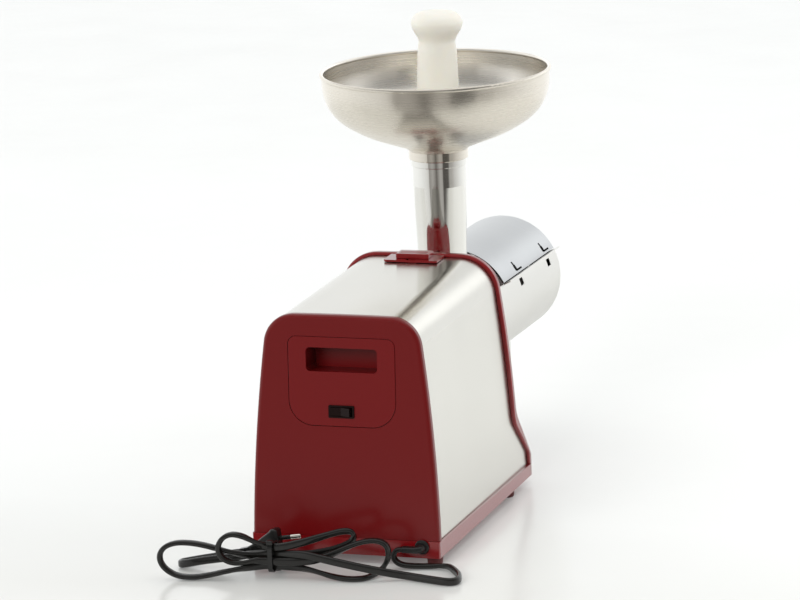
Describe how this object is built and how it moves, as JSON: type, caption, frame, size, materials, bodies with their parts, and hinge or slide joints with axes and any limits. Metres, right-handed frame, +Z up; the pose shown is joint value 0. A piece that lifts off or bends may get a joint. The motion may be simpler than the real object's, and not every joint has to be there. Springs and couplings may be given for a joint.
{
  "type": "electric tomato press",
  "caption": "Electric tomato press: red and brushed-steel motor housing with a horizontal press head, round steel hopper and pusher, sheet-steel splash guard and a tied mains cord.",
  "frame": {"origin": "centre of the footprint of the machine without its cord, on the standing surface under the feet", "axes": "+Z up; +Y toward the rear cover with the switch; the press head and its outlet point to -Y; +X is the left side seen from the rear"},
  "size_m": [0.2516, 0.5594, 0.4157],
  "materials": {
    "red_plastic": "satin",
    "foot_rubber": "matt",
    "sheet_steel": "brushed",
    "polished_alloy": "polished",
    "cast_alloy": "as cast",
    "cream_plastic": "satin",
    "black_plastic": "satin",
    "cord_rubber": "satin",
    "plated_brass": "nickel plated",
    "bush_bronze": "machined",
    "white_nylon": "satin",
    "machined_steel": "machined",
    "core_steel": "laminated",
    "copper_wire": "enamelled",
    "seal_rubber": "matt",
    "fan_plastic": "matt",
    "terminal_plastic": "matt",
    "wire_cover": "satin"
  },
  "bodies": {
    "casing": {"base_tray": "red_plastic", "front_cover": "red_plastic", "rear_cover": "red_plastic", "grip_panel": "red_plastic", "feet": "foot_rubber", "housing_shell": "sheet_steel", "guard_end_plate": "sheet_steel", "guard_lower": "sheet_steel", "filter_cone": "sheet_steel", "press_body": "polished_alloy", "head_ring": "cast_alloy", "ring_nut": "cast_alloy", "gear_case": "cast_alloy", "gear_cover": "cast_alloy", "motor_bracket": "cast_alloy", "switch_body": "black_plastic", "strain_relief": "cord_rubber", "cord_lead": "cord_rubber", "cord_hank": "cord_rubber", "cord_tie": "cord_rubber", "plug_body": "cord_rubber", "plug_pins": "plated_brass", "output_bushes": "bush_bronze", "head_ring_screws": "machined_steel", "intermediate_axles": "machined_steel", "gear_cover_screws": "machined_steel", "motor_bearings": "machined_steel", "motor_tie_bolts": "machined_steel", "stator_spacers": "machined_steel", "base_screws": "machined_steel", "mount_screws": "machined_steel", "stator_core": "core_steel", "field_coils": "copper_wire", "head_seal": "seal_rubber", "shaft_seal": "seal_rubber", "brush_holders": "fan_plastic", "capacitor": "fan_plastic", "carbon_brushes": "fan_plastic", "terminal_block": "terminal_plastic", "inner_leads": "wire_cover"},
    "output": {"output_gear": "white_nylon", "output_shaft": "machined_steel", "feed_screw": "white_nylon"},
    "second_wheel": {"second_gear": "white_nylon", "second_pinion": "machined_steel"},
    "first_wheel": {"first_gear": "white_nylon", "first_pinion": "machined_steel"},
    "rotor": {"motor_pinion": "machined_steel", "motor_shaft": "machined_steel", "rotor_core": "core_steel", "rotor_windings": "copper_wire", "commutator": "copper_wire", "cooling_fan": "fan_plastic"},
    "rocker": {"switch_rocker": "black_plastic"},
    "latch": {"release_latch": "red_plastic", "lock_bolt": "machined_steel"},
    "funnel": {"funnel": "sheet_steel"},
    "pusher": {"pusher": "cream_plastic"},
    "guard_cover": {"guard_upper": "sheet_steel"}
  },
  "joints": [
    {"name": "rotor_spin", "type": "hinge", "parent": "casing", "child": "rotor", "pos_m": [0, 0.117, 0.06696], "axis": [0, 1, 0], "continuous": true},
    {"name": "first_spin", "type": "hinge", "parent": "casing", "child": "first_wheel", "pos_m": [0.012, 0.045, 0.09314], "axis": [0, 1, 0], "continuous": true},
    {"name": "second_spin", "type": "hinge", "parent": "casing", "child": "second_wheel", "pos_m": [-0.018, 0.045, 0.10688], "axis": [0, 1, 0], "continuous": true},
    {"name": "output_spin", "type": "hinge", "parent": "casing", "child": "output", "pos_m": [0, 0.04, 0.144], "axis": [0, 1, 0], "continuous": true},
    {"name": "rocker_tilt", "type": "hinge", "parent": "casing", "child": "rocker", "pos_m": [0.0007, 0.23009, 0.1274], "axis": [0, -0.0688, 0.9976], "range_deg": [0, 18]},
    {"name": "latch_slide", "type": "slide", "parent": "casing", "child": "latch", "axis": [0, 1, 0], "range_m": [0, 0.006]},
    {"name": "pusher_lift", "type": "slide", "parent": "casing", "child": "pusher", "axis": [-0.0227, 0, 0.9997], "range_m": [0, 0.24]},
    {"name": "funnel_lift", "type": "slide", "parent": "casing", "child": "funnel", "axis": [0, 0, 1], "range_m": [0, 0.05]},
    {"name": "guard_cover_lift", "type": "slide", "parent": "casing", "child": "guard_cover", "axis": [0, 0, 1], "range_m": [0, 0.06]}
  ],
  "couplings": [
    {"joint": "first_spin", "follows": "rotor_spin", "ratio": -0.2},
    {"joint": "second_spin", "follows": "rotor_spin", "ratio": 0.044444},
    {"joint": "output_spin", "follows": "rotor_spin", "ratio": -0.0098765}
  ]
}
